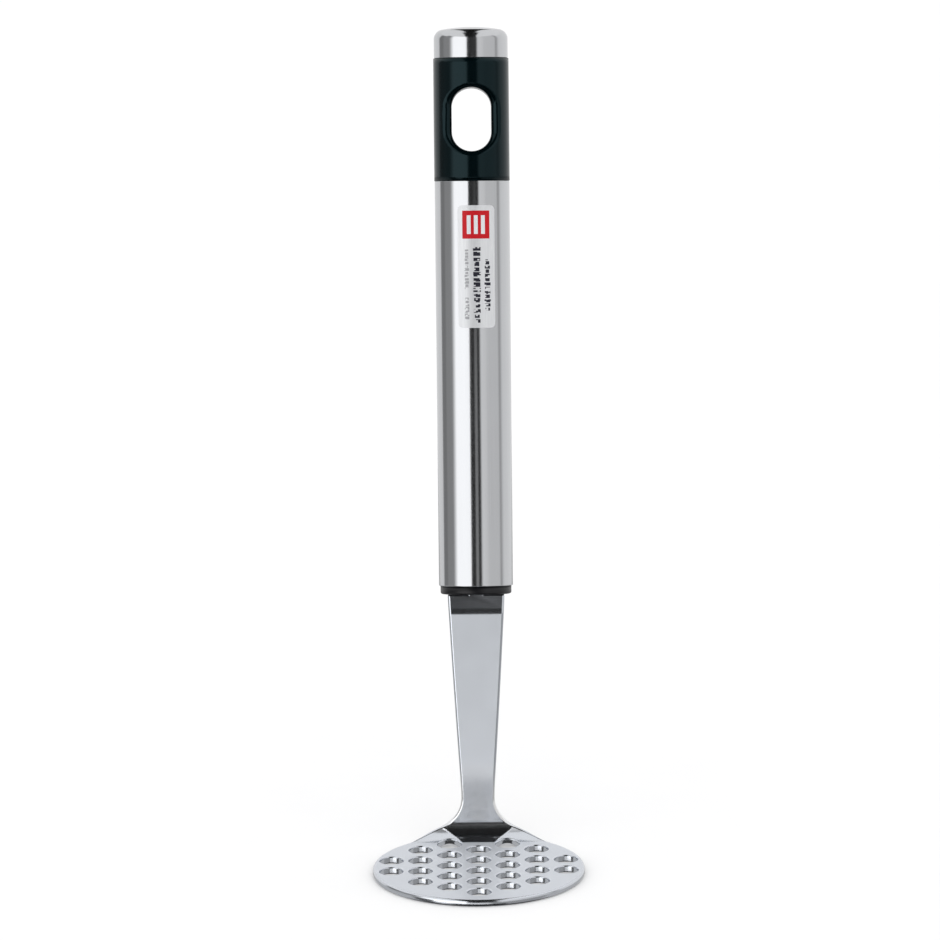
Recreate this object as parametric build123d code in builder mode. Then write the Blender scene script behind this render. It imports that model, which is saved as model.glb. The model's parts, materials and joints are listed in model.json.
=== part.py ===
"""A hand masher: a perforated plate bent from one sheet with its shank, on a round hollow handle.

Frame: the origin is the middle of the hole pattern, on the plate's underside, +Z is up and -Y is
the front. The plate lies flat, the shank stands on its back edge, and the handle leans back.
"""
import os
from math import cos, pi, radians, sin, sqrt

from build123d import *

# ---------------------------------------------------------------- driving dimensions, mm
SHEET = 2.2                 # thickness of the stamped sheet
EDGE_ROUND = 0.7            # rounding along the sheet's outline

PLATE_R = 32.9              # round plate
PLATE_Y = -1.6              # its centre, a little in front of the hole pattern's
HOLE_R = 3.7
HOLE_ROUND = 0.35           # rounding of each hole's rims
HOLE_PITCH = 10.45          # between neighbouring holes of the triangular pattern

FOOT_BEND_Y = 22.2          # where the plate starts to turn up
FOOT_BEND_R = 5.6           # inside radius of that bend
SHANK_TOP_Z = 74.9          # top of the shank's upright stretch
NECK_BEND_R = 10.0          # front radius of the bend at the shank's top
LEAN = 13.8                 # the handle's lean from upright, degrees
NECK = 4.3                  # straight sheet between that bend and the handle

WAIST_W = 5.2               # half the shank's width at its narrowest
MID_W = 7.1                 # half its width at mid-height
MID_Z = 46.5
SHANK_W = 8.9               # half its width at the handle
TOP_SLOPE = 0.04            # how fast it still widens there
WEB_R = 9.6                 # outline radius between plate and shank, measured on the flat blank

TANG_W = 5.5                # half the width of the tang inside the handle
TANG_L = 78.0               # its length above the shank's shoulders
TANG_ROUND = 2.0

TUBE_FOOT_R = 11.4          # the tube widens a little towards its top
TUBE_TOP_R = 11.65
BORE_R = 10.7
TUBE_L = 126.0
SPIGOT_GAP = 0.05           # radial gap of each plug inside a bore

RING_R = 11.05              # flange of the bottom plug
RING_L = 2.6
PLUG_L = 12.0               # its spigot
SLOT_GAP = 0.1              # around the tang in the plug's slot

CORE_L = 62.0
PIN_R = 1.5
PIN_GAP = 0.02
PIN_L = 19.6
PIN_PLACES = (18.0, 54.0)   # above the cores' lower end

HANGER_R = 11.75
HANGER_L = 38.0
HANG_SLOT_W = 12.2
HANG_SLOT_L = 19.8
HANG_SLOT_ROUND = 1.8
TUBE_SPIGOT_L = 14.0
CAP_SPIGOT_L = 6.0

CAP_R = 11.5
CAP_L = 9.8
CAP_CORNER = 3.0
CAP_CROWN = 0.5             # rise of the cap's top from corner to centre
CAP_ROOF = 1.8              # thickness in the middle of its top

SEAL_R = 0.5                # section of each ring seal
SEAL_GROOVE = 1.1           # depth and width of its groove
SEAL_PLACE = 5.0            # from the spigot's shoulder to the groove's middle
CAP_SEAL_PLACE = 3.0

LABEL_W = 11.3
LABEL_L = 38.0
LABEL_T = 0.1
LABEL_DROP = 7.7            # from the tube's top end
LABEL_TURN = 6.0            # around the handle, from the front towards +X, degrees
LABEL_CORNER = 1.5

# ---------------------------------------------------------------- derived places
foot_out_r = FOOT_BEND_R + SHEET
foot_z = SHEET + FOOT_BEND_R                    # height of the foot bend's centre line
shank_y = FOOT_BEND_Y + FOOT_BEND_R             # front face of the shank
neck_y = shank_y + NECK_BEND_R                  # centre line of the neck bend
neck_back_r = NECK_BEND_R - SHEET
lean = radians(LEAN)
mid_r = NECK_BEND_R - SHEET / 2

# the handle's own frame: its origin lies in the middle of the sheet, at the shank's shoulders
neck_end = (neck_y - mid_r * cos(lean), SHANK_TOP_Z + mid_r * sin(lean))
handle = Plane(
    origin=(0, neck_end[0] + NECK * sin(lean), neck_end[1] + NECK * cos(lean)),
    x_dir=(1, 0, 0),
    z_dir=(0, sin(lean), cos(lean)),
)
handle_axis = Axis(handle.origin, handle.z_dir)
through_axis = Axis(handle.origin, handle.y_dir)    # across the handle, from front to back
profile_plane = Plane(origin=handle.origin, x_dir=handle.x_dir, z_dir=-handle.y_dir)
tube_foot = RING_L
tube_top = tube_foot + TUBE_L
cap_foot = tube_top + HANGER_L
spigot_r = BORE_R - SPIGOT_GAP
core_foot = tube_foot + PLUG_L

# columns of holes: how many columns from the middle, then the holes' places, both in pitches
COLUMNS = (
    (0, (-2.5, -1.5, -0.5, 0.5, 1.5)),
    (1, (-2, -1, 0, 1, 2)),
    (2, (-1.5, -0.5, 0.5, 1.5)),
    (3, (-0.5, 0.5)),
)
column_pitch = HOLE_PITCH * sqrt(3) / 2
holes = [
    (side * column * column_pitch, row * HOLE_PITCH)
    for column, rows in COLUMNS
    for side in ((1, -1) if column else (1,))
    for row in rows
]

# the flat blank: the web arc touches the plate's circle and the side of the shank
web_x = WAIST_W + WEB_R
web_y = PLATE_Y + sqrt((PLATE_R + WEB_R) ** 2 - web_x**2)
web_start_y = PLATE_Y + (web_y - PLATE_Y) * PLATE_R / (PLATE_R + WEB_R)


def blank_half_width(y):
    """Half the flat blank's width at y, from the bend's start to the shank's narrowest place."""
    if y < web_start_y:
        return sqrt(PLATE_R**2 - (y - PLATE_Y) ** 2)
    if y < web_y:
        return web_x - sqrt(WEB_R**2 - (y - web_y) ** 2)
    return WAIST_W


def blank_slope(y, step=0.01):
    """How fast that half width changes along y."""
    return (blank_half_width(y + step) - blank_half_width(y - step)) / (2 * step)


# ---------------------------------------------------------------- the masher head, one bent sheet
with BuildPart() as plate_blank:
    with BuildSketch():
        with Locations((0, PLATE_Y)):
            Circle(PLATE_R)
        with Locations((0, FOOT_BEND_Y)):
            Rectangle(2 * PLATE_R, PLATE_R, align=(Align.CENTER, Align.MIN), mode=Mode.SUBTRACT)
    extrude(amount=SHEET)

# the foot bend: a quarter ring, trimmed by the blank's outline across the middle of the bend
half_turn = radians(45)
bend_plane = Plane(
    origin=(0, FOOT_BEND_Y, foot_z),
    x_dir=(1, 0, 0),
    z_dir=(0, -sin(half_turn), cos(half_turn)),
)
bend_steps = [radians(angle) for angle in (0, 15, 30, 45, 60, 75, 90)]
bend_edge = [
    (blank_half_width(FOOT_BEND_Y + FOOT_BEND_R * turn), FOOT_BEND_R * sin(turn - half_turn))
    for turn in bend_steps
]
bend_ends = (FOOT_BEND_Y, FOOT_BEND_Y + FOOT_BEND_R * pi / 2)
bend_reach = foot_out_r * sin(half_turn) + 1

with BuildPart() as bend_blank:
    with BuildSketch(Plane.YZ):
        with Locations((FOOT_BEND_Y, foot_z)):
            Circle(foot_out_r)
            Circle(FOOT_BEND_R, mode=Mode.SUBTRACT)
        with Locations((FOOT_BEND_Y, foot_z)):
            Rectangle(foot_out_r, foot_out_r, align=(Align.MIN, Align.MAX), mode=Mode.INTERSECT)
    extrude(amount=PLATE_R, both=True)
    with BuildSketch(bend_plane):
        with BuildLine():
            low, high = bend_edge[0], bend_edge[-1]
            Polyline((0, -bend_reach), (low[0], -bend_reach), low)
            Spline(bend_edge, tangents=[(blank_slope(y), cos(half_turn)) for y in bend_ends])
            Polyline(high, (high[0], bend_reach), (0, bend_reach), (0, -bend_reach))
        make_face()
        mirror(about=Plane.YZ)
    extrude(amount=-2 * foot_out_r, mode=Mode.INTERSECT)

with BuildPart() as foot_bend:
    inner_face = bend_blank.faces().filter_by(GeomType.CYLINDER).sort_by(SortBy.AREA)[0]
    thicken(inner_face, amount=-SHEET)

# the upright shank with its neck bend, trimmed by the outline seen from the front
shank_foot_w = blank_half_width(FOOT_BEND_Y + FOOT_BEND_R * pi / 2)
web_top_z = foot_z + web_y - (FOOT_BEND_Y + FOOT_BEND_R * pi / 2)
web_mid_z = (foot_z + web_top_z) / 2
web_mid_w = web_x - sqrt(WEB_R**2 - (web_top_z - web_mid_z) ** 2)
shoulder_z = handle.origin.Z + (SHEET / 2) * sin(lean)

with BuildPart() as shank_blank:
    with BuildSketch(Plane.YZ):
        with BuildLine():
            front_top = (neck_y - NECK_BEND_R * cos(lean), SHANK_TOP_Z + NECK_BEND_R * sin(lean))
            back_top = (neck_y - neck_back_r * cos(lean), SHANK_TOP_Z + neck_back_r * sin(lean))
            front = Line((shank_y, foot_z), (shank_y, SHANK_TOP_Z))
            front_bend = RadiusArc(front @ 1, front_top, NECK_BEND_R)
            neck_front = PolarLine(front_bend @ 1, NECK, 90 - LEAN)
            neck_top = PolarLine(neck_front @ 1, SHEET, -LEAN)
            neck_back = Line(neck_top @ 1, back_top)
            back_bend = RadiusArc(neck_back @ 1, (shank_y + SHEET, SHANK_TOP_Z), -neck_back_r)
            back = Line(back_bend @ 1, (shank_y + SHEET, foot_z))
            Line(back @ 1, front @ 0)
        make_face()
    extrude(amount=PLATE_R, both=True)
    with BuildSketch(Plane.XZ):
        with BuildLine():
            foot = Line((0, foot_z), (shank_foot_w, foot_z))
            web = ThreePointArc(foot @ 1, (web_mid_w, web_mid_z), (WAIST_W, web_top_z))
            side = Spline(
                web @ 1, (MID_W, MID_Z), (SHANK_W, shoulder_z), tangents=((0, 1), (TOP_SLOPE, 1))
            )
            Polyline(side @ 1, (0, shoulder_z), (0, foot_z))
        make_face()
        mirror(about=Plane.YZ)
    extrude(amount=-2 * PLATE_R, mode=Mode.INTERSECT)

with BuildPart() as masher_head:
    add(plate_blank.part)
    add(foot_bend.part)
    add(shank_blank.part)
    outline = [
        edge
        for edge in masher_head.edges()
        if edge.geom_type != GeomType.LINE and abs(edge.length - SHEET) > PIN_GAP
    ]
    fillet(outline, EDGE_ROUND)
    with Locations([(x, y, SHEET / 2) for x, y in holes]):
        Cylinder(HOLE_R, 2 * SHEET, mode=Mode.SUBTRACT)
    hole_walls = masher_head.faces().filter_by(
        lambda face: face.geom_type == GeomType.CYLINDER and abs(face.radius - HOLE_R) < PIN_GAP
    )
    fillet(hole_walls.edges().filter_by(Axis.Z, reverse=True), HOLE_ROUND)
    with BuildSketch(handle):
        Rectangle(2 * TANG_W, SHEET)
    extrude(amount=TANG_L)
    tang_corners = masher_head.edges().filter_by(through_axis)
    fillet(tang_corners.sort_by(Axis.Z)[-2:], TANG_ROUND)
    with Locations([handle.offset(core_foot + place) for place in PIN_PLACES]):
        Cylinder(PIN_R + PIN_GAP, 4 * SHEET, rotation=(90, 0, 0), mode=Mode.SUBTRACT)
masher_head.part.label = "masher_head"

# ---------------------------------------------------------------- the handle's lower end
with BuildPart() as bottom_plug:
    with BuildSketch(handle):
        Circle(RING_R)
    extrude(amount=RING_L)
    fillet(bottom_plug.edges().sort_by(handle_axis)[0], EDGE_ROUND)
    with BuildSketch(handle.offset(RING_L)):
        Circle(spigot_r)
    extrude(amount=PLUG_L)
    with BuildSketch(handle.offset(RING_L + SEAL_PLACE - SEAL_GROOVE / 2)):
        Circle(spigot_r)
        Circle(BORE_R - SEAL_GROOVE, mode=Mode.SUBTRACT)
    extrude(amount=SEAL_GROOVE, mode=Mode.SUBTRACT)
    with BuildSketch(handle):
        Rectangle(2 * (TANG_W + SLOT_GAP), SHEET + 2 * SLOT_GAP)
    extrude(amount=RING_L + PLUG_L, mode=Mode.SUBTRACT)
bottom_plug.part.label = "bottom_plug"

with BuildPart() as plug_seal:
    with Locations(handle.offset(RING_L + SEAL_PLACE)):
        Torus(BORE_R - SEAL_GROOVE / 2, SEAL_R)
plug_seal.part.label = "plug_seal"

with BuildPart() as handle_tube:
    with BuildSketch(profile_plane):
        with BuildLine():
            Polyline(
                (BORE_R, tube_foot), (TUBE_FOOT_R, tube_foot), (TUBE_TOP_R, tube_top), (BORE_R, tube_top),
                close=True,
            )
        make_face()
    revolve(axis=handle_axis)
handle_tube.part.label = "handle_tube"


def tang_core(side):
    """Half-round filler on one side of the tang: side is -1 in front of it and +1 behind it."""
    with BuildPart() as core:
        with BuildSketch(handle.offset(core_foot)):
            Circle(spigot_r)
            Rectangle(2 * (TANG_W + SLOT_GAP), SHEET + 2 * SLOT_GAP, mode=Mode.SUBTRACT)
            with Locations((0, -side * spigot_r)):
                Rectangle(2 * BORE_R, 2 * spigot_r + SLOT_GAP, mode=Mode.SUBTRACT)
        extrude(amount=CORE_L)
        with Locations([handle.offset(core_foot + place) for place in PIN_PLACES]):
            Cylinder(PIN_R + PIN_GAP, 4 * BORE_R, rotation=(90, 0, 0), mode=Mode.SUBTRACT)
    return core.part


tang_core_front = tang_core(-1)
tang_core_front.label = "tang_core_front"
tang_core_rear = tang_core(1)
tang_core_rear.label = "tang_core_rear"

with BuildPart() as tang_pins:
    with Locations([handle.offset(core_foot + place) for place in PIN_PLACES]):
        Cylinder(PIN_R, PIN_L, rotation=(90, 0, 0))
tang_pins.part.label = "tang_pins"

# ---------------------------------------------------------------- the handle's upper end
with BuildPart() as hanger_section:
    with BuildSketch(handle.offset(tube_top)):
        Circle(HANGER_R)
    extrude(amount=HANGER_L)
    slot_plane = Plane(
        origin=handle.offset(tube_top + HANGER_L / 2).origin,
        x_dir=handle.z_dir,
        z_dir=handle.y_dir,
    )
    with BuildSketch(slot_plane):
        SlotOverall(HANG_SLOT_L, HANG_SLOT_W)
    extrude(amount=2 * HANGER_R, both=True, mode=Mode.SUBTRACT)
    slot_rims = hanger_section.edges(Select.LAST).filter_by(through_axis, reverse=True)
    fillet(slot_rims, HANG_SLOT_ROUND)
    with BuildSketch(handle.offset(tube_top - TUBE_SPIGOT_L)):
        Circle(spigot_r)
    extrude(amount=TUBE_SPIGOT_L)
    with BuildSketch(handle.offset(cap_foot)):
        Circle(spigot_r)
    extrude(amount=CAP_SPIGOT_L)
    with BuildSketch(handle.offset(tube_top - SEAL_PLACE - SEAL_GROOVE / 2)):
        Circle(spigot_r)
        Circle(BORE_R - SEAL_GROOVE, mode=Mode.SUBTRACT)
    extrude(amount=SEAL_GROOVE, mode=Mode.SUBTRACT)
    with BuildSketch(handle.offset(cap_foot + CAP_SEAL_PLACE - SEAL_GROOVE / 2)):
        Circle(BORE_R)
        Circle(BORE_R - SEAL_GROOVE, mode=Mode.SUBTRACT)
    extrude(amount=SEAL_GROOVE, mode=Mode.SUBTRACT)
hanger_section.part.label = "hanger_section"

with BuildPart() as hanger_seal:
    with Locations(handle.offset(tube_top - SEAL_PLACE)):
        Torus(BORE_R - SEAL_GROOVE / 2, SEAL_R)
hanger_seal.part.label = "hanger_seal"

with BuildPart() as cap_seal:
    with Locations(handle.offset(cap_foot + CAP_SEAL_PLACE)):
        Torus(BORE_R - SEAL_GROOVE / 2, SEAL_R)
cap_seal.part.label = "cap_seal"

# the cap: a cup with a crowned top, turned around the handle's axis
cap_plane = Plane(origin=handle.offset(cap_foot).origin, x_dir=handle.x_dir, z_dir=-handle.y_dir)
cap_roof = CAP_L - CAP_CROWN - CAP_CORNER
with BuildPart() as end_cap:
    with BuildSketch(cap_plane):
        with BuildLine():
            wall = Polyline((BORE_R, 0), (CAP_R, 0), (CAP_R, cap_roof))
            corner = ThreePointArc(
                wall @ 1,
                (CAP_R - CAP_CORNER * (1 - cos(pi / 4)), cap_roof + CAP_CORNER * sin(pi / 4)),
                (CAP_R - CAP_CORNER, cap_roof + CAP_CORNER),
            )
            crown = Spline(corner @ 1, (0, CAP_L), tangents=((-1, 0.15), (-1, 0)))
            Polyline(crown @ 1, (0, CAP_L - CAP_ROOF), (BORE_R, CAP_SPIGOT_L), (BORE_R, 0))
        make_face()
    revolve(axis=handle_axis)
end_cap.part.label = "end_cap"

# ---------------------------------------------------------------- the label, a thin curved film
label_top = tube_top - LABEL_DROP
label_foot = label_top - LABEL_L
label_turn = radians(LABEL_TURN)
label_plane = Plane(
    origin=handle.offset((label_top + label_foot) / 2).origin,
    x_dir=handle.x_dir * cos(label_turn) + handle.y_dir * sin(label_turn),
    z_dir=handle.x_dir * sin(label_turn) - handle.y_dir * cos(label_turn),
)


def tube_r(height):
    """The tube's outer radius at a height along the handle."""
    return TUBE_FOOT_R + (TUBE_TOP_R - TUBE_FOOT_R) * (height - tube_foot) / TUBE_L


with BuildPart() as label:
    with BuildSketch(profile_plane):
        with BuildLine():
            Polyline(
                (tube_r(label_foot), label_foot),
                (tube_r(label_foot) + LABEL_T, label_foot),
                (tube_r(label_top) + LABEL_T, label_top),
                (tube_r(label_top), label_top),
                close=True,
            )
        make_face()
    revolve(axis=handle_axis)
    with BuildSketch(label_plane):
        RectangleRounded(LABEL_W, LABEL_L, LABEL_CORNER)
    extrude(amount=2 * TUBE_TOP_R, mode=Mode.INTERSECT)
label.part.label = "label"

# ---------------------------------------------------------------- one STEP file for each piece
os.makedirs("parts", exist_ok=True)
export_step(masher_head.part, "parts/masher_head.step")
export_step(bottom_plug.part, "parts/bottom_plug.step")
export_step(plug_seal.part, "parts/plug_seal.step")
export_step(handle_tube.part, "parts/handle_tube.step")
export_step(tang_core_front, "parts/tang_core_front.step")
export_step(tang_core_rear, "parts/tang_core_rear.step")
export_step(tang_pins.part, "parts/tang_pins.step")
export_step(hanger_section.part, "parts/hanger_section.step")
export_step(hanger_seal.part, "parts/hanger_seal.step")
export_step(end_cap.part, "parts/end_cap.step")
export_step(cap_seal.part, "parts/cap_seal.step")
export_step(label.part, "parts/label.step")
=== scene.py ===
# %% [markdown]
# # A hand masher of bent sheet steel on a round hollow handle
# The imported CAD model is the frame: every size and place below is read from it. The pieces that
# show are modelled again here with clean surfaces, and the hidden ones keep their CAD meshes.

# %% Load the frame
import json
from math import atan2, copysign, cos, hypot, pi, radians, sin, sqrt, tan

import bpy
from mathutils import Matrix, Vector

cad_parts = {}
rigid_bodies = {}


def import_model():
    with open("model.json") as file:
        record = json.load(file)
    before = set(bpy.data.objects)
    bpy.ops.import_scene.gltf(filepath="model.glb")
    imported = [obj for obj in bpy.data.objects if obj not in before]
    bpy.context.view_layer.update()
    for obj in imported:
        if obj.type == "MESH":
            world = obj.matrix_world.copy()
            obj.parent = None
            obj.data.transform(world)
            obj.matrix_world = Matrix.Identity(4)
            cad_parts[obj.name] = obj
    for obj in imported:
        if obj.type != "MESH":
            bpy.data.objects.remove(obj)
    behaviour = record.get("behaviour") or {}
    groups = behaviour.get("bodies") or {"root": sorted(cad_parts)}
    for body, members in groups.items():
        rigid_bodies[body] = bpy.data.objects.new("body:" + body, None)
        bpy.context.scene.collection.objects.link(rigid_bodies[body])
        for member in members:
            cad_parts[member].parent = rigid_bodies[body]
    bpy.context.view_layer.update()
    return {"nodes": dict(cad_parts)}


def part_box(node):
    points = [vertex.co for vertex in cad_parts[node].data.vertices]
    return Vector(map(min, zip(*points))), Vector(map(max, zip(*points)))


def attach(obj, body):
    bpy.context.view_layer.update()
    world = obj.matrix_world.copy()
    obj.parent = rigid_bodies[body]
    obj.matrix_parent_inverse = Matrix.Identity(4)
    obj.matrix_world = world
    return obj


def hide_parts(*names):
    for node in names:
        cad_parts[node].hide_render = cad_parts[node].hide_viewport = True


bpy.ops.object.select_all(action="SELECT")
bpy.ops.object.delete()
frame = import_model()
nodes = frame["nodes"]
MM = 0.001

# %% [markdown]
# ## The handle's own frame
# The handle leans back, which is awkward to model in. So each of its pieces is made upright on the
# world's Z axis, and laid onto the handle at the end. The two ring seals sit on the handle's axis,
# one low and one high, so the line between their middles is that axis.

# %% Find the handle's axis
def middle(node):
    """The middle of a CAD node's box."""
    low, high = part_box(node)
    return (low + high) / 2


low_seal, high_seal = middle("plug_seal"), middle("cap_seal")
handle_way = (high_seal - low_seal).normalized()
lean = Vector((0, 0, 1)).angle(handle_way)
handle_frame = Matrix.Translation(low_seal) @ Matrix.Rotation(-lean, 4, "X")
print("the handle leans back by", round(lean * 180 / pi, 2), "degrees")


# %% Measure a CAD node along the handle
def upright(node):
    """A node's points as they are when the handle stands upright on the low seal's middle."""
    turn_back = handle_frame.inverted()
    return [turn_back @ vertex.co for vertex in nodes[node].data.vertices]


def ends(node):
    """The node's lowest and highest place along the handle."""
    heights = [point.z for point in upright(node)]
    return min(heights), max(heights)


def girth(node, low=-1, high=1):
    """The node's outer radius between two heights along the handle."""
    return max(hypot(point.x, point.y) for point in upright(node) if low < point.z < high)


tube_foot, tube_top = ends("handle_tube")
plug_foot = ends("bottom_plug")[0]
core_foot = ends("tang_core_front")[0]
cap_foot, cap_top = ends("end_cap")
half_way = (tube_foot + tube_top) / 2
tube_foot_r, tube_top_r = girth("handle_tube", high=half_way), girth("handle_tube", low=half_way)
cap_r, ring_r = girth("end_cap"), girth("bottom_plug")
bore_r = cap_r - 0.8 * MM
print("tube length in mm:", round((tube_top - tube_foot) / MM, 2))

# %% [markdown]
# ## Small helpers for modelling
# Blender's operators act on the selection, so a piece is always picked alone before it is worked
# on. Modifiers are applied at once, which leaves plain meshes that the library can use.

# %% Pick, shape and finish a piece
def pick(piece):
    """Select one object alone and make it the active one."""
    bpy.ops.object.select_all(action="DESELECT")
    piece.select_set(True)
    bpy.context.view_layer.objects.active = piece


def added(name):
    """The primitive that was just added, with a name of its own."""
    piece = bpy.context.object
    piece.name = piece.data.name = name
    return piece


def modify(piece, kind, **settings):
    """Give the piece a modifier and apply it."""
    pick(piece)
    modifier = piece.modifiers.new(kind.title(), kind)
    for setting, value in settings.items():
        setattr(modifier, setting, value)
    bpy.ops.object.modifier_apply(modifier=modifier.name)
    return piece


def smooth(piece, degrees=35):
    """Smooth shading that keeps flat faces flat and turns above the angle sharp."""
    pick(piece)
    bpy.ops.object.shade_smooth_by_angle(angle=radians(degrees))
    return modify(piece, "WEIGHTED_NORMAL", keep_sharp=True, weight=100)


# %% [markdown]
# ## Turned pieces
# The tube, the cap and the punch that cuts the plate's holes are all round. Each starts
# as a circle with as many vertices as its outline has corners. The vertices are moved onto the
# outline, given as radius and height, and the outline is spun once round the Z axis.

# %% Spin an outline
def turned(name, outline, steps=144):
    """A closed outline of (radius, height) corners, spun round the Z axis."""
    bpy.ops.object.select_all(action="DESELECT")
    bpy.ops.mesh.primitive_circle_add(vertices=len(outline))
    piece = added(name)
    for vertex, (radius, height) in zip(piece.data.vertices, outline):
        vertex.co = (radius, 0, height)
    bpy.ops.object.mode_set(mode="EDIT")
    bpy.ops.mesh.select_all(action="SELECT")
    bpy.ops.mesh.spin(steps=steps, angle=2 * pi, center=(0, 0, 0), axis=(0, 0, 1))
    bpy.ops.mesh.select_all(action="SELECT")
    bpy.ops.mesh.remove_doubles(threshold=1e-7)
    bpy.ops.mesh.normals_make_consistent(inside=False)
    bpy.ops.object.mode_set(mode="OBJECT")
    return piece


def rounded(centre_r, centre_z, radius, start, stop, steps=6):
    """Corners along an arc, from one angle to another in degrees, 0 outwards and 90 upwards."""
    angles = [radians(start + (stop - start) * step / steps) for step in range(steps + 1)]
    return [(centre_r + radius * cos(turn), centre_z + radius * sin(turn)) for turn in angles]


def lay_on_handle(piece):
    """Move an upright piece onto the leaning handle, with its place kept in its mesh."""
    piece.matrix_world = handle_frame
    pick(piece)
    bpy.ops.object.transform_apply(location=True, rotation=True, scale=True)
    return piece


def settle(piece, slot, *stands_for):
    """Attach a finished piece and hide the CAD nodes it stands for. The slot is not used."""
    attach(piece, "root")
    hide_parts(*stands_for)
    print(piece.name, "has", len(piece.data.polygons), "faces")
    return piece


# %% [markdown]
# ## The tube
# A thin-walled tube with its two rims broken by a fine radius. The rims catch a hair line of
# light against the black plastic, which a sharp edge would not.

# %% Make the handle tube
RIM = 0.25 * MM
tube = turned("steel_tube", [
    *rounded(tube_foot_r - RIM, tube_foot + RIM, RIM, -90, 0, 3),
    *rounded(tube_top_r - RIM, tube_top - RIM, RIM, 0, 90, 3),
    (bore_r, tube_top),
    (bore_r, tube_foot),
])
settle(smooth(lay_on_handle(tube)), "tube_steel", "handle_tube")

# %% [markdown]
# ## The cap
# A cup drawn from sheet: a straight wall, a soft corner and a crowned top. The crown is a second,
# much larger arc that meets the corner's arc where both point the same way.

# %% Make the end cap
CORNER = 3.0 * MM
LIP = 0.3 * MM
ROOF = 1.2 * MM
CROWN_TURN = 80
crown_start_r = cap_r - CORNER + CORNER * cos(radians(CROWN_TURN))
crown_r = crown_start_r / cos(radians(CROWN_TURN))
corner_z = cap_top - crown_r + (crown_r - CORNER) * sin(radians(CROWN_TURN))
inner_top = cap_top - ROOF
cap = turned("steel_cap", [
    *rounded(cap_r - LIP, cap_foot + LIP, LIP, -90, 0, 3),
    *rounded(cap_r - CORNER, corner_z, CORNER, 0, CROWN_TURN, 12),
    *rounded(0, cap_top - crown_r, crown_r, CROWN_TURN, 90, 6)[1:],
    (0, inner_top),
    (bore_r - CORNER, inner_top),
    (bore_r, corner_z),
    (bore_r, cap_foot),
])
settle(smooth(lay_on_handle(cap), 60), "cap_steel", "end_cap")

# %% [markdown]
# ## The punched blank
# The head is one sheet: it is cut flat, punched, and bent twice. It is made here in the same
# order. The disc runs into the shank through an arc that touches both, the shank widens up to two
# square shoulders, and the narrow tang beyond them goes into the handle.

# %% The blank's sizes
head_low, head_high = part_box("masher_head")
SHEET = 2.2 * MM
DISC_R = (head_high.x - head_low.x) / 2
DISC_Y = head_low.y + DISC_R
FOOT_BEND_Y = 22.2 * MM
FOOT_BEND_R = 5.6 * MM
NECK_BEND_R = 10 * MM
NECK_BEND_Z = 74.9 * MM
WAIST, SHOULDER, TANG = 5.2 * MM, 8.9 * MM, 5.5 * MM / 2
WEB_R = 9.6 * MM

foot_arc = FOOT_BEND_R * pi / 2
neck_arc = NECK_BEND_R * lean
neck_start = FOOT_BEND_Y + foot_arc + NECK_BEND_Z - SHEET - FOOT_BEND_R
shoulder_y = neck_start + neck_arc + 4.3 * MM
tang_end = shoulder_y + ends("masher_head")[1] - plug_foot
print("the flat blank is", round((tang_end - head_low.y) / MM, 1), "mm long")


# %% Its outline, from the front of the disc to the shoulders
def flare(y):
    """Half the shank's width: straight sides that start softly at the waist."""
    soft = 3 * MM
    share = (hypot(y - web_y, soft) - soft) / (hypot(shoulder_y - web_y, soft) - soft)
    return WAIST + (SHOULDER - WAIST) * share * (1.14 - 0.14 * share)


web_x = WAIST + WEB_R
web_y = DISC_Y + sqrt((DISC_R + WEB_R) ** 2 - web_x ** 2)
web_turn = atan2(web_y - DISC_Y, web_x)
DISC_STEPS, WEB_STEPS, SHANK_STEPS = 130, 20, 30
side = []
for step in range(DISC_STEPS + 1):
    turn = (pi / 2 + web_turn) * (step + 0.5) / (DISC_STEPS + 0.5)
    side.append((DISC_R * sin(turn), DISC_Y - DISC_R * cos(turn)))
for step in range(1, WEB_STEPS + 1):
    turn = web_turn * (1 - step / WEB_STEPS)
    side.append((web_x - WEB_R * cos(turn), web_y - WEB_R * sin(turn)))
for step in range(1, SHANK_STEPS + 1):
    y = web_y + (shoulder_y - web_y) * step / SHANK_STEPS
    side.append((flare(y), y))
side += [(TANG, shoulder_y), (TANG, tang_end)]
print("one side of the outline has", len(side), "corners")

# %% Cut the blank out of the sheet and break its edges
outline = side + [(-x, y) for x, y in reversed(side)]
bpy.ops.object.select_all(action="DESELECT")
bpy.ops.mesh.primitive_circle_add(vertices=len(outline), fill_type="NGON")
head = added("masher_blank")
for vertex, (x, y) in zip(head.data.vertices, outline):
    vertex.co = (x, y - head_low.y, 0)
bpy.ops.object.mode_set(mode="EDIT")
bpy.ops.mesh.select_all(action="SELECT")
bpy.ops.mesh.extrude_region_move(TRANSFORM_OT_translate={"value": (0, 0, -SHEET)})
bpy.ops.mesh.select_all(action="SELECT")
bpy.ops.mesh.normals_make_consistent(inside=False)
bpy.ops.object.mode_set(mode="OBJECT")
modify(head, "BEVEL", width=0.8 * MM, segments=5, limit_method="ANGLE", angle_limit=radians(60),
       use_clamp_overlap=False)

# %% [markdown]
# The holes have softly rounded lips on both sides. A punch with a flared end cuts the hole and
# its lips in one Boolean. It is turned once and copied to every hole of the pattern.

# %% Make one punch
HOLE_R = 3.7 * MM
LIP_R = 0.4 * MM
OVER = 2 * MM
flare_r = HOLE_R + LIP_R
punch = turned("punch", [
    (0, -SHEET - OVER),
    (flare_r, -SHEET - OVER),
    *rounded(flare_r, -SHEET + LIP_R, LIP_R, 262, 180, 5),
    *rounded(flare_r, -LIP_R, LIP_R, 180, 98, 5),
    (flare_r, OVER),
    (0, OVER),
], steps=64)

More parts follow.
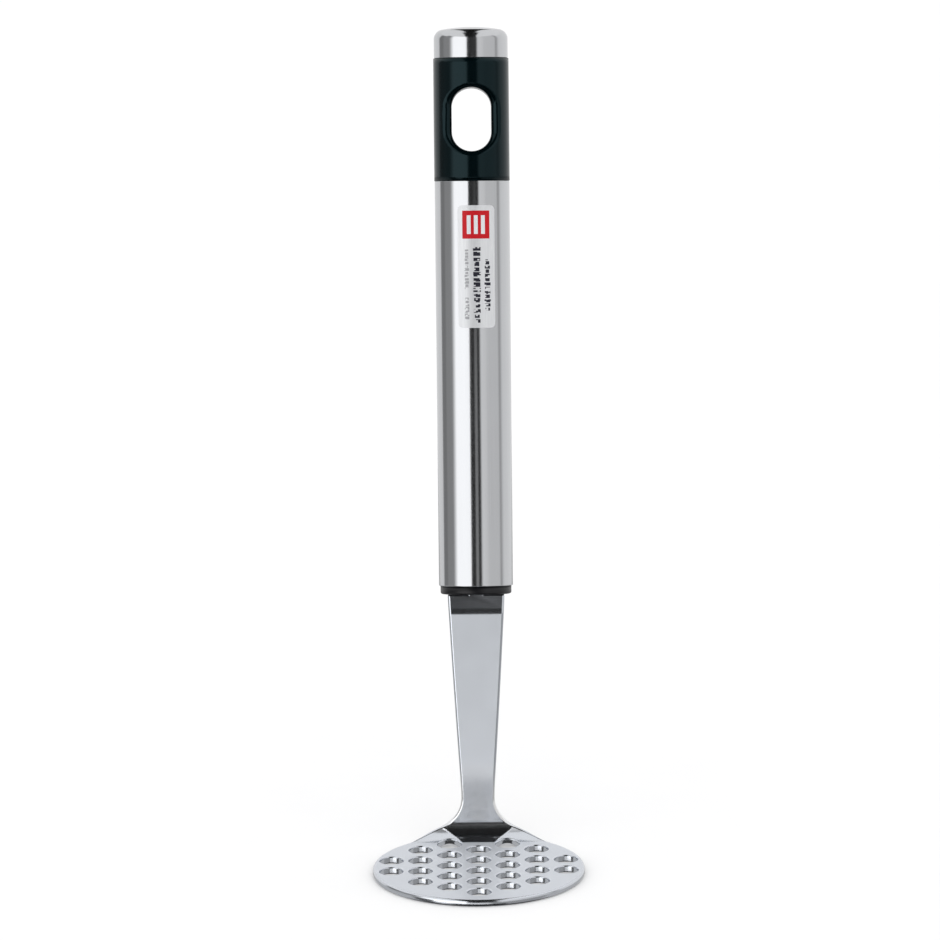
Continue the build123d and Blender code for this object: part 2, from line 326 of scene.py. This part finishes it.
# %% Punch the triangular pattern of holes
PITCH = 10.45 * MM
COLUMN = PITCH * sqrt(3) / 2
HOLES_IN_COLUMN = {0: 5, 1: 5, -1: 5, 2: 4, -2: 4, 3: 2, -3: 2}
punches = []
for column, count in HOLES_IN_COLUMN.items():
    middle_row = -0.5 if column == 0 else 0
    for hole in range(count):
        row = middle_row + hole - (count - 1) / 2
        one = punch.copy()
        one.data = punch.data.copy()
        one.location = (column * COLUMN, row * PITCH - head_low.y, 0)
        bpy.context.collection.objects.link(one)
        punches.append(one)
bpy.data.objects.remove(punch)
for pin in (18 * MM, 54 * MM):
    bpy.ops.mesh.primitive_cylinder_add(vertices=32, radius=1.5 * MM, depth=4 * SHEET)
    one = added("pin_punch")
    one.location = (0, shoulder_y + core_foot - plug_foot + pin - head_low.y, 0)
    punches.append(one)
bpy.ops.object.select_all(action="DESELECT")
for one in punches:
    one.select_set(True)
bpy.context.view_layer.objects.active = punches[0]
bpy.ops.object.join()
bpy.ops.object.transform_apply(location=True, rotation=True, scale=True)
punches = bpy.context.object
modify(head, "BOOLEAN", object=punches, operation="DIFFERENCE", solver="EXACT")
bpy.data.objects.remove(punches)
print("punched", sum(HOLES_IN_COLUMN.values()), "holes")

# %% [markdown]
# ## Bending the sheet
# A Curve modifier bends the flat blank. The path runs along the sheet's upper face: level, round
# the foot bend, straight up, round the neck bend, and on along the handle. A point of the blank
# keeps its distance along the path, so the sheet neither stretches nor shrinks on that face.

# %% Draw the path of the sheet's upper face
BEND_STEPS = 30
foot_centre = Vector((0, FOOT_BEND_Y, SHEET + FOOT_BEND_R))
neck_centre = Vector((0, FOOT_BEND_Y + FOOT_BEND_R + NECK_BEND_R, NECK_BEND_Z))
path_points = [Vector((0, head_low.y, SHEET))]
for step in range(BEND_STEPS + 1):
    turn = pi / 2 * step / BEND_STEPS
    path_points.append(foot_centre + FOOT_BEND_R * Vector((0, sin(turn), -cos(turn))))
for step in range(BEND_STEPS + 1):
    turn = lean * step / BEND_STEPS
    path_points.append(neck_centre + NECK_BEND_R * Vector((0, -cos(turn), sin(turn))))
path_points.append(path_points[-1] + handle_way * 100 * MM)

path_curve = bpy.data.curves.new("fold_path", "CURVE")
path_curve.dimensions = "3D"
spline = path_curve.splines.new("POLY")
spline.points.add(len(path_points) - 1)
for point, place in zip(spline.points, path_points):
    point.co = (*place, 1)
    point.tilt = pi / 2
path = bpy.data.objects.new("fold_path", path_curve)
bpy.context.collection.objects.link(path)
print("the path has", len(path_points), "corners")

# %% [markdown]
# A flat face can't follow a bend, so the blank is cut across wherever the path turns. Then the
# modifier bends it.

# %% Cut the bends into narrow strips
pick(head)
bpy.ops.object.mode_set(mode="EDIT")
for start, length in ((FOOT_BEND_Y, foot_arc), (neck_start, neck_arc)):
    for step in range(BEND_STEPS + 1):
        bpy.ops.mesh.select_all(action="SELECT")
        y = start + length * step / BEND_STEPS - head_low.y
        bpy.ops.mesh.bisect(plane_co=(0, y, 0), plane_no=(0, 1, 0))

# %% [markdown]
# The foot bend is cut lengthwise too. Its shading changes across the sheet, as told further below,
# and a corner's normal can only change where there is a corner.

# %% Cut the foot bend lengthwise
CREASE_STEP = 0.6 * MM
CUTS_TO_A_SIDE = 20
bpy.ops.mesh.select_mode(type="FACE")
for step in range(-CUTS_TO_A_SIDE, CUTS_TO_A_SIDE + 1):
    bpy.ops.mesh.select_all(action="DESELECT")
    bpy.ops.object.mode_set(mode="OBJECT")
    for face in head.data.polygons:
        y = face.center.y + head_low.y
        face.select = FOOT_BEND_Y < y < FOOT_BEND_Y + foot_arc
    bpy.ops.object.mode_set(mode="EDIT")
    bpy.ops.mesh.bisect(plane_co=(step * CREASE_STEP, 0, 0), plane_no=(1, 0, 0))
bpy.ops.mesh.select_mode(type="VERT")
bpy.ops.object.mode_set(mode="OBJECT")
print("the cut blank has", len(head.data.polygons), "faces")

# %% Bend the blank along the path
head.name = head.data.name = "masher_plate"
modify(head, "CURVE", object=path, deform_axis="POS_Y")
bpy.data.objects.remove(path)
smooth(head, 40)

# %% [markdown]
# On the real tool only the middle of the bend mirrors the dark front of the room: a crease as wide
# as the shank at its top and narrow at the plate, with the sheet beside it flaring outwards. The
# mesh keeps the plain bend. The flare is put only into the normals of the bend's inner face, so it
# shows in the reflections and not in the outline.

# %% Flare the bend's inner face beside the crease
FLARE = radians(34)
FLARE_EDGE = 0.6 * MM
CREASE_FOOT = 4.6 * MM
WIDER_BACKWARDS, WIDER_UPWARDS = 0.38, 1.28


def on_inner_face(point):
    """Whether a point lies on the foot bend's inner face."""
    back, down = point.y - foot_centre.y, foot_centre.z - point.z
    return abs(hypot(back, down) - FOOT_BEND_R) < 0.02 * MM and min(back, down) > -0.1 * MM


def flared(point, normal):
    """The inner face's normal, turned outwards beside the crease."""
    reach = (CREASE_FOOT + WIDER_BACKWARDS * (point.y - foot_centre.y)
             + WIDER_UPWARDS * (point.z - SHEET))
    turn = FLARE * min(1, max(0, abs(point.x) - reach) / FLARE_EDGE)
    return (normal + Vector((copysign(tan(turn), point.x), 0, 0))).normalized()


mesh = head.data
normals = [corner.vector.copy() for corner in mesh.corner_normals]
flared_corners = 0
for face in mesh.polygons:
    places = [mesh.vertices[index].co for index in face.vertices]
    if all(on_inner_face(place) for place in places):
        for loop, place in zip(face.loop_indices, places):
            normals[loop] = flared(place, normals[loop])
            flared_corners += 1
mesh.normals_split_custom_set(normals)
print("flared", flared_corners, "corners of the bend")
settle(head, "head_steel", "masher_head")
for axis, letter in enumerate("xyz"):
    reach = [vertex.co[axis] / MM for vertex in head.data.vertices]
    print("the head's", letter, "runs from", round(min(reach), 2), "to", round(max(reach), 2), "mm")

# %% [markdown]
# ## The black section with its hanging slot
# The CAD mesh already has the slot with its rounded rim. Its triangles are loose, so a copy is
# merged into one skin. The round wall gets the normals of a true cylinder, because a skin of long
# triangles would show them in a gloss finish.

# %% Copy and smooth the hanger
def smooth_copy(node, name, degrees):
    """A merged and smoothed copy of a CAD node's mesh."""
    piece = nodes[node].copy()
    piece.data = nodes[node].data.copy()
    piece.name = piece.data.name = name
    piece.parent = None
    for key in list(piece.keys()):
        del piece[key]
    bpy.context.collection.objects.link(piece)
    pick(piece)
    bpy.ops.object.mode_set(mode="EDIT")
    bpy.ops.mesh.select_all(action="SELECT")
    bpy.ops.mesh.remove_doubles(threshold=1e-7)
    bpy.ops.object.mode_set(mode="OBJECT")
    bpy.ops.object.shade_smooth_by_angle(angle=radians(degrees))
    return piece


def true_round(piece, radius):
    """Give corners that lie on the handle's round wall the normals of a true cylinder."""
    turn_back = handle_frame.inverted()
    mesh = piece.data
    normals = [corner.vector.copy() for corner in mesh.corner_normals]
    for loop in mesh.loops:
        point = turn_back @ mesh.vertices[loop.vertex_index].co
        outwards = handle_frame.to_3x3() @ Vector((point.x, point.y, 0)).normalized()
        on_wall = abs(hypot(point.x, point.y) - radius) < 0.1 * MM
        if on_wall and normals[loop.index].dot(outwards) > 0.97:
            normals[loop.index] = outwards
    mesh.normals_split_custom_set(normals)
    return piece


WALL_SECTORS, WALL_RINGS = 36, 24


def cut_wall(piece, radius, foot, top):
    """Cut the round wall into a fine grid and push the new corners out onto the cylinder."""
    pick(piece)
    bpy.ops.object.mode_set(mode="EDIT")
    for step in range(WALL_SECTORS):
        turn = pi * (step + 0.5) / WALL_SECTORS
        bpy.ops.mesh.select_all(action="SELECT")
        bpy.ops.mesh.bisect(plane_co=handle_frame.translation,
                            plane_no=handle_frame.to_3x3() @ Vector((cos(turn), sin(turn), 0)))
    for step in range(1, WALL_RINGS):
        height = foot + (top - foot) * step / WALL_RINGS
        bpy.ops.mesh.select_all(action="SELECT")
        bpy.ops.mesh.bisect(plane_co=handle_frame @ Vector((0, 0, height)), plane_no=handle_way)
    bpy.ops.object.mode_set(mode="OBJECT")
    for vertex in piece.data.vertices:
        point = handle_frame.inverted() @ vertex.co
        out = hypot(point.x, point.y)
        if radius - 0.06 * MM < out < radius:
            x, y = point.x * radius / out, point.y * radius / out
            vertex.co = handle_frame @ Vector((x, y, point.z))
    return piece


hanger = smooth_copy("hanger_section", "hanger_block", 30)
hanger_r = girth("hanger_section")
true_round(cut_wall(hanger, hanger_r, tube_top, cap_foot), hanger_r)
settle(hanger, "hanger_plastic", "hanger_section")

# %% [markdown]
# ## The ring at the handle's foot
# It is the flange of the plug that closes the tube: a short black collar with a rounded lower
# edge. The slot for the tang and the spigot with its groove come with the CAD mesh's copy.

# %% Copy and smooth the plug
plug = smooth_copy("bottom_plug", "plug_ring", 30)
true_round(plug, ring_r)
settle(plug, "plug_plastic", "bottom_plug")

# %% [markdown]
# ## The label
# A thin film with rounded corners that follows the tube. Its outline is cut out flat, with the
# middle of the tube's front at x = 0. It is sliced into narrow strips, because a flat face can't
# wrap, and each corner is then carried round the tube by its distance from the front.

# %% Cut the film out flat
FILM = 0.1 * MM
FILM_CORNER = 1.5 * MM
film_foot, film_top = ends("label")
film_r = girth("label") - FILM
film_turns = [atan2(point.x, -point.y) for point in upright("label")]
left, right = min(film_turns) * film_r + FILM_CORNER, max(film_turns) * film_r - FILM_CORNER
outline = [
    *rounded(right, film_foot + FILM_CORNER, FILM_CORNER, -90, 0, 8),
    *rounded(right, film_top - FILM_CORNER, FILM_CORNER, 0, 90, 8),
    *rounded(left, film_top - FILM_CORNER, FILM_CORNER, 90, 180, 8),
    *rounded(left, film_foot + FILM_CORNER, FILM_CORNER, 180, 270, 8),
]
bpy.ops.object.select_all(action="DESELECT")
bpy.ops.mesh.primitive_circle_add(vertices=len(outline), fill_type="NGON")
film = added("label_film")
for vertex, (x, z) in zip(film.data.vertices, outline):
    vertex.co = (x, 0, z)
print("the film is", round((film_top - film_foot) / MM, 1), "mm long")

# %% Slice it, wrap it round the tube and thicken it
STRIPS = 20
bpy.ops.object.mode_set(mode="EDIT")
for strip in range(1, STRIPS):
    bpy.ops.mesh.select_all(action="SELECT")
    x = left - FILM_CORNER + (right - left + 2 * FILM_CORNER) * strip / STRIPS
    bpy.ops.mesh.bisect(plane_co=(x, 0, 0), plane_no=(1, 0, 0))
bpy.ops.object.mode_set(mode="OBJECT")
taper = (tube_top_r - tube_foot_r) / (tube_top - tube_foot)
for vertex in film.data.vertices:
    turn = vertex.co.x / film_r
    out = tube_foot_r + taper * (vertex.co.z - tube_foot) + 0.01 * MM
    vertex.co = (out * sin(turn), -out * cos(turn), vertex.co.z)
pick(film)
bpy.ops.object.mode_set(mode="EDIT")
bpy.ops.mesh.select_all(action="SELECT")
bpy.ops.mesh.normals_make_consistent(inside=False)
bpy.ops.object.mode_set(mode="OBJECT")
if film.data.polygons[0].normal.y > 0:
    film.data.flip_normals()
modify(film, "SOLIDIFY", thickness=FILM, offset=1)
settle(smooth(lay_on_handle(film)), "label_film", "label")

# %% [markdown]
# ## Shader sums
# A finish is worked out from noise and distances. One small class wraps a socket, so that its
# maths reads as plain sums in Python, and each sum adds its Math node.

# %% A socket that can be used in sums
class Shade:
    """One output socket of a material, or a sum of several."""

    def __init__(self, tree, socket):
        self.tree, self.socket = tree, socket

    def node(self, kind, settings=None, out=0, **inputs):
        """Add a node: first its settings, then the values or links of its sockets."""
        return add_node(self.tree, kind, settings, out, **inputs)

    def maths(self, operation, *others):
        node = self.tree.nodes.new("ShaderNodeMath")
        node.operation = operation
        for place, value in enumerate((self, *others)):
            if isinstance(value, Shade):
                self.tree.links.new(value.socket, node.inputs[place])
            else:
                node.inputs[place].default_value = value
        return Shade(self.tree, node.outputs[0])

    def __add__(self, other):
        return self.maths("ADD", other)

    def __sub__(self, other):
        return self.maths("SUBTRACT", other)

    def __rsub__(self, other):
        return self.maths("MULTIPLY", -1).maths("ADD", other)

    def __mul__(self, other):
        return self.maths("MULTIPLY", other)

    def __gt__(self, other):
        return self.maths("GREATER_THAN", other)

    def __lt__(self, other):
        return self.maths("LESS_THAN", other)

    def __abs__(self):
        return self.maths("ABSOLUTE")

    __radd__ = __add__
    __rmul__ = __mul__


def set_stops(ramp, stops):
    """Give a ramp its (place, brightness) stops."""
    while len(ramp.elements) < len(stops):
        ramp.elements.new(1.0)
    for element, (place, brightness) in zip(ramp.elements, stops):
        element.position = place
        element.color = (brightness, brightness, brightness, 1)


def add_node(tree, kind, settings=None, out=0, **inputs):
    """A node of any type; an input's spaces are underscores, and a number follows one."""
    node = tree.nodes.new(kind)
    for setting, value in (settings or {}).items():
        if setting == "stops":
            set_stops(node.color_ramp, value)
        else:
            setattr(node, setting, value)
    for name, value in inputs.items():
        key = int(name[1:]) if name[0] == "_" else name.replace("_", " ")
        socket = node.inputs[key]
        if isinstance(value, Shade):
            tree.links.new(value.socket, socket)
        else:
            socket.default_value = value
    return Shade(tree, node.outputs[out])


# %% [markdown]
# ## Finishes
# Every finish starts from the same place: a material, its shader, and the point being shaded,
# turned into the handle's upright frame where the pattern follows the handle.

# %% Start a material
def finish(name, **constants):
    """A new material and its tree, with the shader's plain values set."""
    material = bpy.data.materials.new(name)
    material.use_nodes = True
    tree = material.node_tree
    for socket, value in constants.items():
        tree.nodes["Principled BSDF"].inputs[socket.replace("_", " ")].default_value = value
    return material, tree


def feed(tree, **links):
    """Link what changes over the surface to the shader."""
    shader = tree.nodes["Principled BSDF"]
    for socket, value in links.items():
        tree.links.new(value.socket, shader.inputs[socket.replace("_", " ")])


def surface_point(tree, upright_on_handle=True, scale=(1, 1, 1)):
    """The point being shaded, scaled, in the handle's upright frame or in the world's."""
    place = add_node(tree, "ShaderNodeTexCoord", out=3)
    if upright_on_handle:
        to_seal = -(Matrix.Rotation(lean, 3, "X") @ low_seal)
        place = place.node("ShaderNodeMapping", {"vector_type": "POINT"}, Vector=place,
                           Location=to_seal, Rotation=(lean, 0, 0))
    return place.node("ShaderNodeMapping", {"vector_type": "POINT"}, Vector=place, Scale=scale)


def noise(place, size, detail=3.0, roughness=0.5):
    """Noise whose grains are about one size across, in metres."""
    return place.node("ShaderNodeTexNoise", Vector=place, Scale=1 / size, Detail=detail,
                      Roughness=roughness)


def blend_colours(share, first, second):
    """One colour turning into another by share."""
    return share.node("ShaderNodeMix", {"data_type": "RGBA"}, out=2, _0=share, _6=first, _7=second)


def relief(height, depth):
    """A bump of that depth in metres."""
    return height.node("ShaderNodeBump", Strength=1.0, Distance=depth, Height=height)


# %% [markdown]
# ### Steel
# The tube is ground along its length, so its grain is noise that is stretched along the handle.
# The grain changes the roughness more than the colour. A second, slower noise stands for the
# uneven touch of the belt. The head is tumbled and has a finer, shorter grain. The foot of the
# shank mirrors the plate, which would look darker than on the real tool, so a painted highlight
# whitens its colour there.

# %% Steel finishes
def ground_steel(name, colour, rough, spread, along, across, upright_on_handle=True, depth=0.4e-6):
    """Steel with a grain that runs along Z, along and across in metres."""
    material, tree = finish(name, Metallic=1.0)
    stretch = surface_point(tree, upright_on_handle, (1, 1, across / along))
    grain = noise(stretch, across, detail=4, roughness=0.6)
    drift = noise(surface_point(tree, upright_on_handle), 14 * MM, detail=2)
    dark = (*[part * 0.9 for part in colour], 1)
    light = (*[min(part * 1.06, 1) for part in colour], 1)
    feed(tree,
         Base_Color=blend_colours(grain * 0.7 + drift * 0.3, dark, light),
         Roughness=(grain - 0.5) * spread + (drift - 0.5) * spread * 0.5 + rough,
         Normal=relief(grain, depth))
    return material


tube_finish = ground_steel("brushed_tube", (0.66, 0.67, 0.69), 0.13, 0.08, 40 * MM, 0.25 * MM)
cap_finish = ground_steel("brushed_cap", (0.66, 0.67, 0.69), 0.14, 0.08, 20 * MM, 0.25 * MM)


def tumbled_sheet():
    """Tumbled steel: satin on the plate's upper face, smoother on its walls, bends and shank."""
    material, tree = finish("tumbled_sheet")
    place = surface_point(tree, upright_on_handle=False)
    height = place.node("ShaderNodeSeparateXYZ", Vector=place, out=2)
    grain = noise(place, 0.35 * MM, detail=4, roughness=0.6)
    drift = noise(place, 8 * MM, detail=2)
    upper_face = (height > SHEET - 0.03 * MM) * (height < SHEET + 0.02 * MM)
    steel = blend_colours(grain * 0.6 + drift * 0.4, (0.67, 0.70, 0.75, 1), (0.77, 0.80, 0.85, 1))
    # Painted highlight: from 8 to 26 mm up, the base colour is whitened so the shank's reflection
    # reads brighter.
    shank_highlight_stops = [(7 * MM, 0), (8 * MM, 0.9), (17 * MM, 0.8), (26 * MM, 0)]
    painted_shank_highlight = height.node("ShaderNodeValToRGB", {"stops": shank_highlight_stops}, Fac=height)
    feed(tree,
         Base_Color=blend_colours(painted_shank_highlight, steel, (1, 1, 1, 1)),
         Metallic=1 - upper_face * 0.45,
         Roughness=(grain - 0.5) * 0.06 + (drift - 0.5) * 0.06 + upper_face * 0.26 + 0.15,
         Normal=relief(grain, 0.4e-6))
    return material


head_finish = tumbled_sheet()


# %% [markdown]
# ### Black plastic
# Moulded plastic is never one flat black. A faint orange-peel bump breaks up the highlights, and
# the roughness drifts a little where hands have polished it.

# %% Plastic finishes
def moulded(name, colour, rough, spread=0.08, peel=3e-6, **constants):
    """Moulded plastic with a fine peel and a drifting gloss."""
    material, tree = finish(name, **constants)
    peel_noise = noise(surface_point(tree), 0.6 * MM, detail=3)
    drift = noise(surface_point(tree), 9 * MM, detail=2)
    worn = (*[part * 1.8 for part in colour], 1)
    feed(tree,
         Base_Color=blend_colours(drift, (*colour, 1), worn),
         Roughness=(drift - 0.5) * spread + rough,
         Normal=relief(peel_noise, peel))
    return material


hanger_finish = moulded("black_gloss", (0.0001, 0.0015, 0.002), 0.17, Specular_IOR_Level=0.3,
                        Specular_Tint=(0.55, 0.9, 1.0, 1))
plug_finish = moulded("black_satin", (0.002, 0.002, 0.003), 0.34, Specular_IOR_Level=0.4)
core_finish = moulded("natural_filler", (0.68, 0.66, 0.60), 0.5, peel=8e-6)
seal_finish = moulded("seal_rubber", (0.02, 0.02, 0.02), 0.65, peel=6e-6)
pin_finish = ground_steel("machined_pin", (0.58, 0.58, 0.6), 0.3, 0.1, 0.2 * MM, 0.2 * MM)

# %% [markdown]
# ### The label's film and print
# The film is pale silver. Its print is a red square with three stripes and three columns of
# specks, which stand for rows of small print and say nothing. Each mark is a box in the tube's own
# frame, so a mark is a product of comparisons.

# %% Label finish
SPECK_LENGTH, SPECK_WIDTH = 0.42 * MM, 0.62 * MM
SQUARE_X, SQUARE_Z = -0.05, 6.0


def label_print():
    material, tree = finish("printed_film", Specular_IOR_Level=0.25)
    place = surface_point(tree)
    across = place.node("ShaderNodeSeparateXYZ", Vector=place, out=0)
    along = place.node("ShaderNodeSeparateXYZ", Vector=place, out=2)
    aside = middle("label").x

    def bar(x, z, width, height):
        """1 inside a box, with its middle x beside the film's middle and z below its top."""
        in_width = abs(across - (aside + x * MM)) < width * MM / 2
        in_height = abs(along - (film_top - z * MM)) < height * MM / 2
        return in_width * in_height

    def random_number(key):
        """A number from 0 to 1 that depends only on the key."""
        return key.node("ShaderNodeTexWhiteNoise", {"noise_dimensions": "1D"}, W=key)

    def print_row(x, start, stop, width, pitch):
        """A column of small broken blocks of uneven size, like fine print seen from afar."""
        cell = (along * (1 / (pitch * MM))).maths("FLOOR")
        gap = (along * (1 / (pitch * MM))).maths("FRACT")
        tall = random_number(cell + x)
        wide = random_number(cell - 7.3 * x)
        half_width = (wide * 0.45 + 0.55) * (width * MM / 2)
        in_row = abs(along - (film_top - (start + stop) / 2 * MM)) < (stop - start) * MM / 2
        in_block = abs(across - (aside + x * MM)) < half_width
        row = (along * (1 / SPECK_LENGTH)).maths("FLOOR")
        line = ((across - x * MM) * (1 / SPECK_WIDTH)).maths("FLOOR")
        speck = random_number(row * 7.31 + line * 3.77)
        return in_row * in_block * (gap < tall * 0.3 + 0.6) * (speck > 0.3)

    red = bar(SQUARE_X, SQUARE_Z, 8.4, 8.7)
    stripes = sum(bar(SQUARE_X + x, SQUARE_Z, 1.2, 5.8) for x in (-2.2, 0, 2.2))
    ink = print_row(3.4, 16.8, 32.7, 2.0, 1.3) + print_row(0.15, 12.9, 36.4, 2.4, 1.6)
    faint = (print_row(-3.0, 13.7, 26, 1.5, 1.0) + print_row(-3.0, 28.6, 35.3, 1.5, 1.0)) * 0.5
    grain = noise(surface_point(tree, scale=(1, 1, 0.05)), 0.3 * MM)
    film_colour = blend_colours(grain, (0.60, 0.61, 0.63, 1), (0.78, 0.79, 0.80, 1))
    inked = blend_colours(ink + faint, film_colour, (0.02, 0.02, 0.03, 1))
    printed = blend_colours(red - stripes, inked, (0.50, 0.002, 0.008, 1))
    feed(tree,
         Base_Color=printed,
         Metallic=(1 - red) * (1 - ink) * 0.35,
         Roughness=(grain - 0.5) * 0.1 + 0.32)
    return material


label_finish = label_print()

# %% Give every piece and every hidden node its finish
FINISHES = {
    "steel_tube": tube_finish, "steel_cap": cap_finish, "masher_plate": head_finish,
    "hanger_block": hanger_finish, "plug_ring": plug_finish, "label_film": label_finish,
    "tang_core_front": core_finish, "tang_core_rear": core_finish, "tang_pins": pin_finish,
    "plug_seal": seal_finish, "hanger_seal": seal_finish, "cap_seal": seal_finish,
    "handle_tube": tube_finish, "end_cap": cap_finish, "masher_head": head_finish,
    "hanger_section": hanger_finish, "bottom_plug": plug_finish, "label": label_finish,
}
for name, material in FINISHES.items():
    mesh = bpy.data.objects[name].data
    mesh.materials.clear()
    mesh.materials.append(material)
print(len(set(FINISHES.values())), "finishes in use")

# %% [markdown]
# ## The studio
# Polished steel shows what stands around it, so the studio is built for its reflections: a bright
# softbox on the left, pale cards on the right, darkness at the camera and overhead, and a bright
# table below. All of it is painted on one large dome, which only the shiny surfaces see. The white
# floor and a soft light from above are for everything else.

# %% Floor and surroundings
bpy.ops.object.select_all(action="DESELECT")
bpy.ops.mesh.primitive_plane_add(size=12)
floor = added("floor")
floor_finish, floor_tree = finish("pale_floor", Roughness=0.9, Specular_IOR_Level=0.1)
floor_noise = noise(surface_point(floor_tree, False), 30 * MM)
floor_colour = blend_colours(floor_noise, (0.86, 0.86, 0.86, 1), (0.88, 0.88, 0.88, 1))
feed(floor_tree, Base_Color=floor_colour)
floor.data.materials.append(floor_finish)
floor.visible_glossy = False

world = bpy.data.worlds.new("studio")
bpy.context.scene.world = world
world.use_nodes = True
seen = add_node(world.node_tree, "ShaderNodeLightPath", out=0)
sky = blend_colours(seen, (0.03, 0.03, 0.035, 1), (1, 1, 1, 1))
world.node_tree.links.new(sky.socket, world.node_tree.nodes["Background"].inputs["Color"])

# %% A dome of light and dark around the object
DOME_STRENGTH = 2.0
bpy.ops.object.select_all(action="DESELECT")
bpy.ops.mesh.primitive_uv_sphere_add(segments=64, ring_count=32, radius=3)
dome = added("studio_dome")
dome.visible_camera = False
dome.visible_shadow = False
dome.visible_diffuse = False
dome_light, dome_tree = finish("studio_dome_light", Base_Color=(0, 0, 0, 1), Specular_IOR_Level=0.0,
                               Emission_Strength=DOME_STRENGTH)
dome.data.materials.append(dome_light)

# %% [markdown]
# Each place on the dome is known by three angles in degrees: how far round it lies from the
# camera's side, how high, and how far off the middle plane. Brightness comes from limits on them.

# %% Say where a direction lies
way = surface_point(dome_tree, upright_on_handle=False)
way_x, way_y, way_z = (way.node("ShaderNodeSeparateXYZ", Vector=way, out=axis) for axis in range(3))
DEGREES = 180 / pi
around = way_x.maths("ARCTAN2", way_y * -1) * DEGREES
aside = way_x.maths("ARCTAN2", (way_y * way_y + way_z * way_z).maths("SQRT")) * DEGREES
height = way_z.maths("ARCTAN2", (way_x * way_x + way_y * way_y).maths("SQRT")) * DEGREES


def panorama(stops):
    """Brightness all around, from (angle, brightness) stops, right positive, the camera at 0."""
    stops = [((angle + 180) / 360, brightness / DOME_STRENGTH) for angle, brightness in stops]
    return around.node("ShaderNodeValToRGB", {"stops": stops}, Fac=(around + 180) * (1 / 360))


# %% Level with the handle: softbox, black gap, pale cards
DARK = 0.03
level = panorama((
    (-180, 0.84), (-118, 0.78), (-114, 0.23), (-98, 0.23), (-95, 0.3), (-72, 0.3), (-63, 1.0),
    (-59, 1.42), (-13.5, 1.42), (-13, DARK), (18.5, DARK), (20, 0.5), (23, 0.83), (40, 0.74),
    (44, 0.67), (82, 0.66), (84, 0.42), (90, 0.42), (93, 0.6), (100, 0.78), (130, 0.84),
    (150, 0.84), (180, 0.84),
))

# %% Below the table's edge
TABLE_EDGE, FLOOR_EDGE = -12.5, -50
below = panorama((
    (-180, 0.5), (-76, 0.5), (-74, 0.1), (-52, 0.1), (-50, 0.62), (-13, 0.62), (-12, 0.83),
    (12, 0.83), (13, 0.34), (75, 0.34), (80, 0.5), (180, 0.5),
))
is_below = height < TABLE_EDGE
is_under = height < FLOOR_EDGE
low_window = (around > -50) * (around < -13) * (height > -19.5) * 0.64
near_floor = (abs(around) < 32) * (height < -22)
table = (below + low_window) * (is_below - is_under) * (1 - near_floor) + is_under * DARK

# %% Overhead: dark over the middle plane, paler at the sides
CEILING_EDGE, LOWER_BEHIND = 34, 8
MIDDLE_HALF, NARROWER_BEHIND = 16, 6
behind = way_y > 0
is_overhead = height > CEILING_EDGE - behind * LOWER_BEHIND
in_middle = abs(aside) < MIDDLE_HALF - behind * NARROWER_BEHIND
overhead = (1 - in_middle) * 0.44 + 0.004

# %% Put the dome together, with the camera's own pale front
camera_front = (abs(around - 6) < 4.5) * (abs(height - 13) < 3.5) * 0.13
is_level = (1 - is_overhead) * (1 - is_below)
feed(dome_tree, Emission_Color=(level + camera_front) * is_level + overhead * is_overhead + table)

# %% Lights for the floor and the plastic
def soft_light(name, strength, spread):
    """Even light from above that isn't mirrored in the steel."""
    light = bpy.data.lights.new(name, "SUN")
    light.energy = strength
    light.angle = radians(spread)
    lamp = bpy.data.objects.new(name, light)
    lamp.visible_glossy = False
    bpy.context.collection.objects.link(lamp)


soft_light("overhead", 3.6, 170)

# %% [markdown]
# ## The camera
# A long lens from about two and a half metres, a little above the plate, so that the handle's rings
# look straight while the plate shows as an open ellipse.

# %% Set the camera
AZIMUTH, ELEVATION, ROLL, DISTANCE = radians(-0.11), radians(15.36), radians(-0.54), 2.4
aim = Vector((-1.55, 18.4, 124.4)) * MM
ahead = Vector((-sin(AZIMUTH) * cos(ELEVATION), cos(AZIMUTH) * cos(ELEVATION), -sin(ELEVATION)))
camera = bpy.data.objects.new("camera", bpy.data.cameras.new("camera"))
camera.data.lens = 297.7
camera.data.sensor_width = 36
camera.location = aim - ahead * DISTANCE
camera.rotation_euler = (
    ahead.to_track_quat("-Z", "Y").to_matrix() @ Matrix.Rotation(ROLL, 3, "Z")
).to_euler()
bpy.context.collection.objects.link(camera)
bpy.context.scene.camera = camera
bpy.context.scene.view_settings.view_transform = "Standard"
